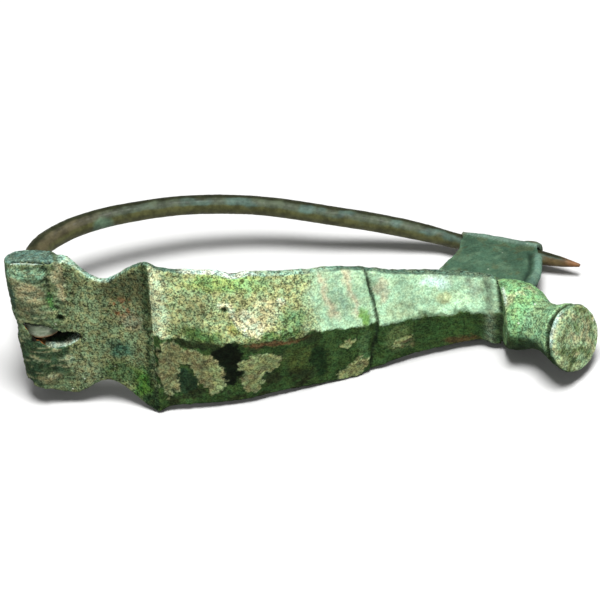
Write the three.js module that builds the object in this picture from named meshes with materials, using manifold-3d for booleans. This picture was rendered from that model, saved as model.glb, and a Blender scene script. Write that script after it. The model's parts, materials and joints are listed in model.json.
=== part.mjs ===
// A Roman hinged bow brooch of cast copper alloy: one casting, a bowed pin, and the bar that the pin turns on.
// Millimetres. The brooch is drawn in its own axes, with the middle of the hinge bar at the origin: +X runs
// from the head to the foot, +Y across, and +Z out of the front. It is then laid down on its -Y side, on the
// face of its convex hull that it comes to rest on, with +Z up and the middle of its underside at the origin.
import * as THREE from "three";
import { mergeVertices } from "three/addons/utils/BufferGeometryUtils.js";
import { ConvexHull } from "three/addons/math/ConvexHull.js";
import Module from "manifold-3d";

// Hinge: the bar, the eye that turns on it, and the slot that the eye sits in.
const BAR_RADIUS = 0.75;
const BAR_LENGTH = 11.0;
const BORE_RADIUS = 0.88;
const BORE_LENGTH = 11.4;
const EYE_RADIUS = 1.75;
const EYE_THICKNESS = 1.36;
const EYE_ROOM_RADIUS = 1.87;
const SLOT_WIDTH = 1.8;
const SLOT_Y = -0.3;
const SLOT_END_X = 1.98;
const BRIDGE_Z = 0.55;
const SLIT_FLOOR_Z = 0.95;
const SLIT_OUTLINE = [
  [-1.75, 0.62], [-1.5, 0.0], [-0.6, -0.98], [0.4, -1.82], [1.5, -1.95], [2.7, -1.45], [3.35, -0.8],
  [3.1, -0.42], [1.5, -0.3], [0.0, 0.35],
];
const ROUND_SIDES = 24;

// Head: the sheet rolled outward into the hinge tube.
const HEAD_HALF_WIDTH = 7.0;
const FAR_END_LEAN = THREE.MathUtils.degToRad(8);
const NEAR_END_Y = -6.55;
const NEAR_END_SKEW = THREE.MathUtils.degToRad(11);
const ROLL_CENTRE_Z = 0.12;
const ROLL_HALF_HEIGHT = 1.78;
const ROLL_LEFT_X = -2.35;
const ROLL_LEFT_SLANT = 0.1;
const ROLL_RIGHT_X = 2.15;
const ROLL_TILT = THREE.MathUtils.degToRad(13);
const ROLL_SQUARENESS = 0.9;
const ROLL_WORN_END = 0.07;
const ROLL_SIDES = 36;
const ROLL_RINGS = 13;
const SEAM_DEPTH = 1.1;
const SEAM_GAP = 0.3;
const SEAM_LENGTH = 2.55;
const SEAM_MIDDLE = [-0.6, 1.18];
const SEAM_TILT = THREE.MathUtils.degToRad(19);
const NOTCH_X = -1.45;
const NOTCH_WIDTH = 0.4;
const NOTCH_DEPTH = 0.75;

// Bow: half width, front height of the edges, and height of the median ridge above them, along the length.
const CREST_X = 9.6;
const GROOVE_X = 29.45;
const BOW_END_X = 40.9;
const HALF_WIDTH = [
  [0, 7.0], [2.5, 7.05], [3.5, 6.45], [4.2, 5.9], [5.0, 5.45], [5.8, 5.3], [6.7, 5.8], [7.5, 6.45],
  [8.6, 7.4], [9.3, 7.85], [CREST_X, 7.95], [10.1, 7.6], [10.9, 7.25], [12.4, 7.12], [15.5, 6.95],
  [18.0, 6.65], [21.0, 6.25], [24.0, 6.08], [27.0, 5.8], [28.7, 5.5], [GROOVE_X, 5.15], [29.9, 5.18],
  [30.6, 4.85], [32.3, 4.48], [34.0, 4.2], [36.2, 3.87], [38.0, 3.6], [39.4, 3.38], [40.2, 3.5], [BOW_END_X, 3.65],
];
const EDGE_HEIGHT = [
  [0, 1.75], [1.0, 1.95], [2.0, 2.12], [4.3, 3.1], [7.0, 4.2], [9.2, 5.6], [CREST_X, 5.9], [10.2, 6.0], [12.0, 6.4],
  [15.0, 7.05], [18.0, 7.45], [21.0, 7.5], [25.0, 7.4], [30.0, 7.2], [34.0, 7.05], [37.0, 7.2],
  [39.3, 7.6], [40.2, 8.15], [BOW_END_X, 8.8],
];
const RIDGE_HEIGHT = [
  [0, 0.1], [6.0, 0.1], [9.2, 0.3], [11.0, 0.75], [14.0, 1.45], [20.5, 1.7], [26.0, 1.4], [31.0, 1.5],
  [38.0, 1.4], [BOW_END_X, 1.2],
];
const RIDGE_Y = 0.5;
const EDGE_THICKNESS = [[0, 2.3], [2.0, 2.15], [3.8, 1.6], [5.8, 1.15], [BOW_END_X, 1.15]];
const BACK_HOLLOW = [[2.0, 0], [7.0, 0.4], [BOW_END_X, 0.45]];
const CREST_BULGE = 0.6;
const CREST_LIP = 0.35;
const GROOVE_DEPTH = 0.5;
const GROOVE_HALF_WIDTH = 0.45;
const MOULDING_HEIGHT = 0.22;
const MOULDING_PITCH = 2.1;
const MOULDING_START_X = 22.6;
const MOULDING_COUNT = 3;
const MOULDING_SLANT = 0.16;

// Foot: bulb, neck and disc knob round one axis that leans out of the front, as [distance, radius]. The bulb
// is cut off square where it stands out of the bow's end.
const FOOT_START = new THREE.Vector3(40.55, 0, 7.55);
const FOOT_LEAN = THREE.MathUtils.degToRad(49);
const FOOT_CUT_X = 40.75;
const KNOB_SIDE_LEAN = THREE.MathUtils.degToRad(11);
const KNOB_LEAN_START = 4.6;
const FOOT_PROFILE = [
  [-0.6, 2.3], [0.2, 2.7], [1.0, 2.95], [1.8, 3.08], [2.7, 3.12], [3.4, 3.0], [4.1, 2.75], [4.7, 2.45],
  [5.3, 2.25], [5.9, 2.18], [6.5, 2.23], [7.1, 2.4], [7.7, 2.66], [8.2, 2.88], [8.42, 2.9], [8.52, 2.66],
  [8.68, 2.66], [8.78, 2.96], [9.05, 3.1], [9.35, 3.06], [9.6, 2.84], [9.62, 2.55], [9.78, 1.5],
];
const FOOT_FACE = 9.86;
const FOOT_SIDES = 30;

// Pin: the middle of the wire, from the eye round the bend to the catch.
const CATCH_IN = new THREE.Vector3(39.25, -0.5, -5.15);
const CATCH_OUT = new THREE.Vector3(46.05, -0.5, -0.62);
const TIP_PAST_CATCH = 4.1;
const WIRE_BEND = [
  [0, SLOT_Y, -1.0], [0, SLOT_Y, -3.2], [0.05, 0, -7.0], [0.9, 0.6, -10.9], [3.6, 1.1, -12.8],
  [7.6, 1.6, -13.6], [14.8, 2.0, -13.4], [21.9, 1.9, -11.8], [28.8, 1.2, -9.1], [34.0, 0.35, -7.35],
];
const WIRE_RADIUS = 0.92;
const WIRE_HEAD_RADIUS = 1.02;
const WIRE_CATCH_RADIUS = 0.7;
const WIRE_TIP_RADIUS = 0.16;
const WIRE_SIDES = 14;
const WIRE_RINGS = 84;

// Catch: a plate under the foot whose edge is curled round the pin.
const CURL_INNER = 0.84;
const CURL_OUTER = 1.22;
const CURL_MOUTH_OUTER = 1.05;
const CURL_MOUTH_LENGTH = 1.4;
const CURL_START = 0.4;
const CURL_END = 8.0;
const CURL_TURN = THREE.MathUtils.degToRad(200);
const CURL_STEPS = 20;
const BEAD_LENGTH = 1.7;
const BEAD_OUTER = 1.5;
const PLATE_ROOT_THICKNESS = 1.35;
const PLATE_OUTLINE = [
  [[0.47, -0.1], [7.95, -0.1]], [[0.95, 1.4], [8.9, 1.4]], [[1.5, 2.8], [9.5, 2.7]], [[1.4, 4.4], [10.0, 4.0]],
  [[1.25, 6.8], [10.3, 5.8]], [[1.1, 9.4], [10.7, 7.2]], [[0.9, 12.3], [11.2, 9.0]],
];

const REACH = 6; // longer than any cut is deep
const SLIT_STEPS = 28;

const wasm = await Module();
wasm.setup();

// Smooth curve through [place, value] pairs that never overshoots them.
function profile(points) {
  const slopes = points.map((_, i) => {
    if (i === 0 || i === points.length - 1) return 0;
    const before = (points[i][1] - points[i - 1][1]) / (points[i][0] - points[i - 1][0]);
    const after = (points[i + 1][1] - points[i][1]) / (points[i + 1][0] - points[i][0]);
    return before * after <= 0 ? 0 : (2 * before * after) / (before + after);
  });
  return (x) => {
    const last = points.length - 2;
    let i = 0;
    while (i < last && x > points[i + 1][0]) i += 1;
    const width = points[i + 1][0] - points[i][0];
    const t = THREE.MathUtils.clamp((x - points[i][0]) / width, 0, 1);
    const rise = points[i + 1][1] - points[i][1];
    const a = slopes[i] * width;
    const b = slopes[i + 1] * width;
    return points[i][1] + t * (a + t * (3 * rise - 2 * a - b + t * (a + b - 2 * rise)));
  };
}

// Closed surface through rings of equal length, with a fan at each end round its middle or a given point.
function loft(rings, firstTip, lastTip) {
  const sides = rings[0].length;
  const vertices = rings.flat();
  const faces = [];
  for (let r = 0; r + 1 < rings.length; r += 1) {
    for (let i = 0; i < sides; i += 1) {
      const j = (i + 1) % sides;
      const a = r * sides + i;
      const b = r * sides + j;
      faces.push(a, b, a + sides, b, b + sides, a + sides);
    }
  }
  [0, rings.length - 1].forEach((r) => {
    const middle = new THREE.Vector3();
    rings[r].forEach((v) => middle.addScaledVector(v, 1 / sides));
    vertices.push((r === 0 ? firstTip : lastTip) ?? middle);
    for (let i = 0; i < sides; i += 1) {
      const a = r * sides + i;
      const b = r * sides + ((i + 1) % sides);
      faces.push(...(r === 0 ? [vertices.length - 1, b, a] : [vertices.length - 1, a, b]));
    }
  });
  const geometry = new THREE.BufferGeometry().setFromPoints(vertices);
  geometry.setIndex(faces);
  return geometry;
}

function toSolid(geometry) {
  const bare = geometry.clone();
  bare.deleteAttribute("normal");
  bare.deleteAttribute("uv");
  const merged = mergeVertices(bare);
  return new wasm.Manifold(new wasm.Mesh({
    numProp: 3,
    vertProperties: merged.attributes.position.array,
    triVerts: new Uint32Array(merged.index.array),
  }));
}

function toGeometry(solid) {
  const mesh = solid.getMesh();
  const geometry = new THREE.BufferGeometry();
  geometry.setAttribute("position", new THREE.BufferAttribute(mesh.vertProperties, 3));
  geometry.setIndex(new THREE.BufferAttribute(mesh.triVerts, 1));
  geometry.computeVertexNormals();
  return geometry;
}

// A round bar along Y.
function barAlongY(radius, length, y = 0) {
  return new THREE.CylinderGeometry(radius, radius, length, ROUND_SIDES).translate(0, y, 0);
}

// A box between two corners.
function block(low, high) {
  const size = high.map((v, i) => v - low[i]);
  const middle = high.map((v, i) => (v + low[i]) / 2);
  return new THREE.BoxGeometry(...size).translate(...middle);
}

const halfWidth = profile(HALF_WIDTH);
const edgeHeight = profile(EDGE_HEIGHT);
const ridgeHeight = profile(RIDGE_HEIGHT);
const edgeThickness = profile(EDGE_THICKNESS);
const backHollow = profile(BACK_HOLLOW);

// What the crest, the mouldings and the groove add to the front, at a place along and across the bow.
function reliefAt(x, y) {
  const crest = CREST_LIP * Math.exp(-(((x - CREST_X) / 0.45) ** 2));
  const groove = -GROOVE_DEPTH * Math.exp(-(((x - GROOVE_X) / GROOVE_HALF_WIDTH) ** 2));
  let mouldings = 0;
  for (let i = 0; i < MOULDING_COUNT; i += 1) {
    const middle = MOULDING_START_X + i * MOULDING_PITCH - MOULDING_SLANT * y;
    mouldings += MOULDING_HEIGHT * Math.exp(-(((x - middle) / 0.5) ** 2));
  }
  return crest + groove + mouldings;
}

// One cross section of the bow: a low roof in front, a thin edge each side, and a slightly hollow back.
function bowSection(x) {
  const across = halfWidth(x);
  const edge = edgeHeight(x);
  const ridge = ridgeHeight(x);
  const bulge = CREST_BULGE * Math.exp(-(((x - CREST_X) / 3) ** 2));
  const place = (share, z) => {
    return new THREE.Vector3(x + bulge * (1 - share * share), share * across, z);
  };
  const ridgeShare = RIDGE_Y / across;
  const front = [1, 0.97, 0.8, 0.62, 0.45, 0.27, ridgeShare, -0.2, -0.4, -0.6, -0.8, -0.97, -1];
  const back = [-0.98, -0.9, -0.6, -0.3, 0, 0.3, 0.6, 0.9, 0.98];
  const ring = front.map((share) => {
    const slope = share < ridgeShare ? (share + 1) / (ridgeShare + 1) : (1 - share) / (1 - ridgeShare);
    const round = Math.abs(share) === 1 ? -0.25 : 0;
    return place(share, edge + round + ridge * slope + reliefAt(x, share * across) * (1 - share ** 6));
  });
  back.forEach((share) => {
    const hollow = backHollow(x) * (1 - share * share);
    const round = Math.abs(share) > 0.95 ? 0.2 : 0;
    ring.push(place(share, edge - edgeThickness(x) + hollow + round));
  });
  return ring;
}

// The bow's sections lie close together where the crest, mouldings and groove need them.
function bowStations() {
  const stretches = [
    [0, 8.9, 13], [8.9, 10.5, 8], [10.5, 21.2, 10], [21.2, 30.4, 30], [30.4, BOW_END_X, 12],
  ];
  const stations = [];
  stretches.forEach(([from, to, count]) => {
    for (let i = 0; i < count; i += 1) stations.push(from + ((to - from) * i) / count);
  });
  return [...stations, BOW_END_X];
}

// The rolled tube at the head: an oval section whose outer side slants from one end to the other.
function rollSection(y) {
  const left = ROLL_LEFT_X - ROLL_LEFT_SLANT * y;
  const middle = (left + ROLL_RIGHT_X) / 2;
  const reach = (ROLL_RIGHT_X - left) / 2;
  const worn = 1 - ROLL_WORN_END * (y / HEAD_HALF_WIDTH) ** 8;
  const rounded = (share) => Math.sign(share) * Math.abs(share) ** ROLL_SQUARENESS;
  const ring = [];
  for (let i = 0; i < ROLL_SIDES; i += 1) {
    const angle = (2 * Math.PI * i) / ROLL_SIDES;
    const x = reach * worn * rounded(Math.cos(angle));
    const z = ROLL_HALF_HEIGHT * worn * rounded(Math.sin(angle));
    const turnedX = x * Math.cos(ROLL_TILT) - z * Math.sin(ROLL_TILT);
    const turnedZ = x * Math.sin(ROLL_TILT) + z * Math.cos(ROLL_TILT);
    ring.push(new THREE.Vector3(middle + turnedX, y, ROLL_CENTRE_Z + turnedZ));
  }
  return ring;
}

function rolledHead() {
  const rings = [];
  for (let i = 0; i < ROLL_RINGS; i += 1) {
    rings.push(rollSection(HEAD_HALF_WIDTH * (1 - (2 * i) / (ROLL_RINGS - 1))));
  }
  return toSolid(loft(rings));
}

// What is cut out of the head: the gap that the pin swings in, which leaves a bridge across the tube's outer
// side, the room for its eye, the slit in front, the bore, the seams at both ends, and the ends' slant.
function headCuts() {
  const slot = block(
    [-REACH, SLOT_Y - SLOT_WIDTH / 2, -REACH], [SLOT_END_X, SLOT_Y + SLOT_WIDTH / 2, BRIDGE_Z],
  );
  const slitCurve = new THREE.CatmullRomCurve3(SLIT_OUTLINE.map(([x, y]) => new THREE.Vector3(x, y, 0)), true);
  const slit = new THREE.ExtrudeGeometry(
    new THREE.Shape(slitCurve.getPoints(SLIT_STEPS).slice(0, -1).map((p) => new THREE.Vector2(p.x, p.y))),
    { depth: REACH, bevelEnabled: false },
  ).translate(0, 0, SLIT_FLOOR_Z);
  const farSeam = block([-SEAM_LENGTH / 2, -SEAM_DEPTH, -SEAM_GAP / 2], [SEAM_LENGTH / 2, REACH, SEAM_GAP / 2])
    .rotateY(-SEAM_TILT)
    .translate(SEAM_MIDDLE[0], HEAD_HALF_WIDTH, SEAM_MIDDLE[1]);
  const notch = block(
    [NOTCH_X - NOTCH_WIDTH / 2, -REACH * 2, 0], [NOTCH_X + NOTCH_WIDTH / 2, NEAR_END_Y + NOTCH_DEPTH, REACH],
  );
  const farEnd = block([-REACH, 0, -REACH], [REACH, REACH, REACH])
    .rotateX(-FAR_END_LEAN)
    .translate(0, HEAD_HALF_WIDTH, ROLL_HALF_HEIGHT);
  const nearEnd = block([-REACH, -REACH, -REACH], [SLOT_END_X + REACH, 0, REACH])
    .rotateZ(-NEAR_END_SKEW)
    .translate(0, NEAR_END_Y, 0);
  return [
    slot, barAlongY(EYE_ROOM_RADIUS, SLOT_WIDTH, SLOT_Y), slit, barAlongY(BORE_RADIUS, BORE_LENGTH),
    farSeam, notch, farEnd, nearEnd,
  ].map(toSolid);
}

// The foot's rings stand square to its axis, and lean sideways more and more towards the knob.
function foot() {
  const axis = new THREE.Vector3(Math.cos(FOOT_LEAN), 0, Math.sin(FOOT_LEAN));
  const across = new THREE.Vector3(0, 1, 0);
  const front = new THREE.Vector3().crossVectors(axis, across);
  const rings = FOOT_PROFILE.map(([distance, radius]) => {
    const share = (distance - KNOB_LEAN_START) / (FOOT_FACE - KNOB_LEAN_START);
    const lean = KNOB_SIDE_LEAN * THREE.MathUtils.smoothstep(share, 0, 0.75);
    const middle = FOOT_START.clone().addScaledVector(axis, distance);
    const side = across.clone().multiplyScalar(Math.cos(lean)).addScaledVector(axis, -Math.sin(lean));
    const ring = [];
    for (let i = 0; i < FOOT_SIDES; i += 1) {
      const angle = (2 * Math.PI * i) / FOOT_SIDES;
      ring.push(middle.clone()
        .addScaledVector(side, radius * Math.cos(angle))
        .addScaledVector(front, radius * Math.sin(angle)));
    }
    return ring;
  });
  const turned = toSolid(loft(rings, null, FOOT_START.clone().addScaledVector(axis, FOOT_FACE)));
  return turned.trimByPlane([1, 0, 0], FOOT_CUT_X);
}

// The catch's own axes: along the pin, across the brooch, and up from the pin to the foot.
const along = CATCH_OUT.clone().sub(CATCH_IN).normalize();
const up = new THREE.Vector3(-along.z, 0, along.x);
const inCatch = (u, y, v) => CATCH_IN.clone().addScaledVector(along, u).addScaledVector(up, v)
  .add(new THREE.Vector3(0, y, 0));

// The curled edge, as a bent strip whose outside may widen along the pin, given as [distance, radius] pairs.
function curl(outsides) {
  return strip(outsides.map(([u, outer]) => {
    const outside = [];
    const inside = [];
    for (let i = 0; i <= CURL_STEPS; i += 1) {
      const angle = CURL_TURN * (i / CURL_STEPS - 1);
      outside.push(inCatch(u, outer * Math.cos(angle), outer * Math.sin(angle)));
      inside.push(inCatch(u, CURL_INNER * Math.cos(angle), CURL_INNER * Math.sin(angle)));
    }
    return [...outside, ...inside.reverse()];
  }));
}

// A solid through outlines that needn't be convex and run anticlockwise seen from the last one.
function strip(outlines) {
  const [first] = outlines;
  const flat = first.map((p) => new THREE.Vector2(p.y, p.clone().sub(first[0]).dot(up)));
  const count = first.length;
  const last = count * (outlines.length - 1);
  const faces = [];
  THREE.ShapeUtils.triangulateShape(flat, []).forEach(([a, b, c]) => {
    faces.push(a, c, b, last + a, last + b, last + c);
  });
  for (let start = 0; start < last; start += count) {
    for (let i = 0; i < count; i += 1) {
      const a = start + i;
      const b = start + ((i + 1) % count);
      faces.push(a, b, count + a, b, count + b, count + a);
    }
  }
  const geometry = new THREE.BufferGeometry().setFromPoints(outlines.flat());
  geometry.setIndex(faces);
  return toSolid(geometry);
}

// The plate between the curl and the foot, thicker at its root. Each row of its outline runs from the edge
// towards the head to the edge towards the tip.
function catchPlate() {
  const rootHeight = PLATE_OUTLINE.at(-1)[0][1];
  const rings = PLATE_OUTLINE.map(([[fromU, fromV], [toU, toV]]) => {
    const share = Math.max(0, fromV) / rootHeight;
    const thickness = THREE.MathUtils.lerp(CURL_OUTER - CURL_INNER, PLATE_ROOT_THICKNESS, share);
    const outerFace = CURL_OUTER + 0.1 * share;
    const innerFace = outerFace - thickness;
    const rounded = thickness * 0.3;
    return [
      inCatch(fromU, innerFace, fromV), inCatch(toU - rounded, innerFace, toV),
      inCatch(toU, innerFace + rounded, toV), inCatch(toU, outerFace - rounded, toV),
      inCatch(toU - rounded, outerFace, toV), inCatch(fromU, outerFace, fromV),
    ];
  });
  return toSolid(loft(rings));
}

// The casting: everything but the pin and its bar.
function bow() {
  const mouth = [[CURL_START, CURL_MOUTH_OUTER], [CURL_START + CURL_MOUTH_LENGTH, CURL_OUTER]];
  const bead = [[CURL_END - BEAD_LENGTH, BEAD_OUTER], [CURL_END, BEAD_OUTER]];
  const pieces = [rolledHead(), foot(), catchPlate(), curl([...mouth, [CURL_END, CURL_OUTER]]), curl(bead)];
  let body = toSolid(loft(bowStations().map(bowSection)));
  pieces.forEach((piece) => {
    body = body.add(piece);
  });
  headCuts().forEach((gap) => {
    body = body.subtract(gap);
  });
  return toGeometry(body);
}

// The middle of the wire at a share of its length, and its radius there.
function wireCurve() {
  const bend = WIRE_BEND.map((p) => new THREE.Vector3(...p));
  const catchLength = CATCH_OUT.distanceTo(CATCH_IN);
  const straight = [-1.2, 0, catchLength / 2, catchLength, catchLength + TIP_PAST_CATCH];
  const end = straight.map((u) => inCatch(u, 0, 0));
  return new THREE.CatmullRomCurve3([...bend, ...end], false, "centripetal");
}

const wireRadius = profile([
  [0, WIRE_HEAD_RADIUS], [0.12, WIRE_HEAD_RADIUS], [0.35, WIRE_RADIUS], [0.7, WIRE_RADIUS * 0.96],
  [0.84, WIRE_CATCH_RADIUS], [0.93, WIRE_CATCH_RADIUS * 0.95], [0.965, 0.52], [0.985, 0.34], [1, WIRE_TIP_RADIUS],
]);
const wireFlatness = profile([[0, EYE_THICKNESS / 2 / WIRE_HEAD_RADIUS], [0.045, 0.73], [0.12, 1], [1, 1]]);

function pin() {
  const curve = wireCurve();
  const rings = [];
  for (let r = 0; r <= WIRE_RINGS; r += 1) {
    const share = r / WIRE_RINGS;
    const middle = curve.getPointAt(share);
    const tangent = curve.getTangentAt(share);
    const outward = new THREE.Vector3().crossVectors(new THREE.Vector3(0, 1, 0), tangent).normalize();
    const sideways = new THREE.Vector3().crossVectors(tangent, outward);
    const radius = wireRadius(share);
    const ring = [];
    for (let i = 0; i < WIRE_SIDES; i += 1) {
      const angle = (2 * Math.PI * i) / WIRE_SIDES;
      ring.push(middle.clone()
        .addScaledVector(outward, radius * Math.cos(angle))
        .addScaledVector(sideways, radius * wireFlatness(share) * Math.sin(angle)));
    }
    rings.push(ring);
  }
  const eye = toSolid(barAlongY(EYE_RADIUS, EYE_THICKNESS, SLOT_Y));
  const hole = toSolid(barAlongY(BORE_RADIUS, EYE_THICKNESS * 2, SLOT_Y));
  return toGeometry(toSolid(loft(rings)).add(eye).subtract(hole));
}

function finish(name, geometry, colour, roughness, metalness) {
  const material = new THREE.MeshStandardMaterial({ color: colour, roughness, metalness });
  const mesh = new THREE.Mesh(geometry, material);
  mesh.name = name;
  return mesh;
}

const pieces = [
  finish("bow", bow(), 0x6f8a5f, 0.75, 0.15),
  finish("pin", pin(), 0x5c5a44, 0.5, 0.45),
  finish("hinge_bar", barAlongY(BAR_RADIUS, BAR_LENGTH), 0x6b5236, 0.65, 0.3),
];

// Centre of mass of closed meshes of one metal.
function centreOfMass(meshes) {
  const sum = new THREE.Vector3();
  let volume = 0;
  meshes.forEach(({ geometry }) => {
    const position = geometry.attributes.position;
    const corner = (i) => new THREE.Vector3().fromBufferAttribute(position, geometry.index.getX(i));
    for (let i = 0; i < geometry.index.count; i += 3) {
      const [a, b, c] = [corner(i), corner(i + 1), corner(i + 2)];
      const part = a.dot(new THREE.Vector3().crossVectors(b, c)) / 6;
      volume += part;
      sum.addScaledVector(a.add(b).add(c), part / 4);
    }
  });
  return sum.divideScalar(volume);
}

// Which way is down when the brooch lies at rest: the outward normal of the hull face nearest to -Y that
// the centre of mass stands over.
function restingDown(meshes) {
  const points = [];
  meshes.forEach(({ geometry }) => {
    const position = geometry.attributes.position;
    for (let i = 0; i < position.count; i += 1) {
      points.push(new THREE.Vector3().fromBufferAttribute(position, i));
    }
  });
  const centre = centreOfMass(meshes);
  let best = null;
  new ConvexHull().setFromPoints(points).faces.forEach((face) => {
    const corners = [];
    for (let edge = face.edge; corners.length < 3; edge = edge.next) corners.push(edge.head().point);
    const foot = centre.clone().addScaledVector(face.normal, -face.distanceToPoint(centre));
    const stands = new THREE.Triangle(...corners).containsPoint(foot);
    if (stands && (!best || face.normal.y < best.y)) best = face.normal.clone();
  });
  return best;
}

// Lay the brooch down: its resting face to the ground, then its length along X.
const brooch = new THREE.Group();
brooch.add(...pieces);
brooch.quaternion.setFromUnitVectors(restingDown(pieces), new THREE.Vector3(0, 0, -1));
const length = new THREE.Vector3(1, 0, 0).applyQuaternion(brooch.quaternion);
const heading = new THREE.Quaternion().setFromAxisAngle(
  new THREE.Vector3(0, 0, 1), -Math.atan2(length.y, length.x),
);
brooch.quaternion.premultiply(heading);

const group = new THREE.Group();
group.add(brooch);
group.updateMatrixWorld(true);
const box = new THREE.Box3().setFromObject(group, true);
const middle = box.getCenter(new THREE.Vector3());
brooch.position.set(-middle.x, -middle.y, -box.min.z);

export default group;
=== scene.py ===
"""A Roman bow brooch in corroded bronze: the casting, its wire pin and the hinge bar, dressed and lit.

Shapes and finishes are worked out in the brooch's own axes, in millimetres: the origin is the middle
of the hinge, +X runs from the head to the foot, +Y across and +Z out of the front of the bow.
"""

import json
import math

import bpy
import numpy as np
from mathutils import Matrix, Vector, noise


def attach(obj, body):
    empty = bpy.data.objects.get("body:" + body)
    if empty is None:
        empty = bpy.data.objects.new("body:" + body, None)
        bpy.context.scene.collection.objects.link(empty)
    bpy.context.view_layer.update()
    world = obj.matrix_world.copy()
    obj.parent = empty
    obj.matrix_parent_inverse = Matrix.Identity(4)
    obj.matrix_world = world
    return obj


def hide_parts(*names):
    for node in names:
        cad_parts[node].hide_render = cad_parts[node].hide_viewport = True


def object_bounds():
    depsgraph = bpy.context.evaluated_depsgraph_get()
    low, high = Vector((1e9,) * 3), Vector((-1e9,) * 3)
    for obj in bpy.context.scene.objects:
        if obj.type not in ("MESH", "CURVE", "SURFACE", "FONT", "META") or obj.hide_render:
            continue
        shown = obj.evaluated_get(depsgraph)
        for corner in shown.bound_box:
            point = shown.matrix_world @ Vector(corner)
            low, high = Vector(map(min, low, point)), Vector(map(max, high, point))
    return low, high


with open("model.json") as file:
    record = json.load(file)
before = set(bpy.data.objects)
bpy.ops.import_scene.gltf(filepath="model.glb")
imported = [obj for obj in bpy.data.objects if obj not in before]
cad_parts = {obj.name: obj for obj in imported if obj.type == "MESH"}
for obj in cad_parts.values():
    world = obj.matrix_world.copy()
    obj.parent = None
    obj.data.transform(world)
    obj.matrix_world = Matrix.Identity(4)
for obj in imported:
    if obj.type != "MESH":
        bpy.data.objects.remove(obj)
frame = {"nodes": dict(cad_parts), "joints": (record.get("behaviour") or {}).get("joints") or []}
cad_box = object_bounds()

# ---------------------------------------------------------------- the brooch's own axes

MM = 0.001
joint = frame["joints"][0]
HINGE = Vector(joint["pos_m"])
ACROSS = Vector(joint["axis"]).normalized()
ALONG = Vector((0, 1, 0)).cross(ACROSS).normalized()
FRONT = ALONG.cross(ACROSS)
AXES = np.array([ALONG, ACROSS, FRONT])


def to_brooch(points):
    """Points of the frame, in metres, as millimetres along the brooch's axes."""
    return (points - np.array(HINGE)) @ AXES.T / MM


def to_frame(points):
    """Points in the brooch's axes, in millimetres, as metres of the frame."""
    return points @ AXES * MM + np.array(HINGE)


def direction(x, y, z):
    """A direction in the brooch's axes as a unit vector of the frame."""
    return (ALONG * x + ACROSS * y + FRONT * z).normalized()


# ---------------------------------------------------------------- helpers for shapes


def ease(values, low, high):
    """0 below low, 1 above high and a smooth step between them. low may be the larger."""
    t = np.clip((values - low) / (high - low), 0, 1)
    return t * t * (3 - 2 * t)


def bell(values, centre, width):
    """1 at the centre, falling smoothly to about 0 at two widths from it."""
    return np.exp(-(((values - centre) / width) ** 2))


def clouds(points, size, octaves, seed):
    """Fractal noise of about -1 to 1 at each point, with lumps of the given size."""
    places = (points / size + seed * 7.31).tolist()
    return np.array([noise.fractal(p, 1.0, 2.0, octaves) for p in places])


def cells(points, size, seed):
    """Distance from each point to the nearest of a scatter of points, as a share of the spacing."""
    places = (points / size + seed * 5.17).tolist()
    return np.array([noise.voronoi(p)[0][0] for p in places])


def in_patch(points, x, y, long, wide, turn=0.0):
    """How deep each point lies in an oval patch seen from the front: 1 at its middle, 0 on its edge."""
    a = math.radians(turn)
    dx, dy = points[:, 0] - x, points[:, 1] - y
    u = (dx * math.cos(a) + dy * math.sin(a)) / long
    v = (-dx * math.sin(a) + dy * math.cos(a)) / wide
    return 1 - np.hypot(u, v)


# ---------------------------------------------------------------- dense copies of the CAD solids

# The finer meshes' face size in millimetres, and how many times each is evened out.
BOW_VOXEL, BOW_SMOOTHING = 0.154, 3
PIN_VOXEL, PIN_SMOOTHING = 0.11, 4
BAR_VOXEL, BAR_SMOOTHING = 0.08, 3

# Each round of evening out pulls points towards their neighbours, then pushes them back.
SMOOTH_SHARES = (0.5, -0.52)


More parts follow.
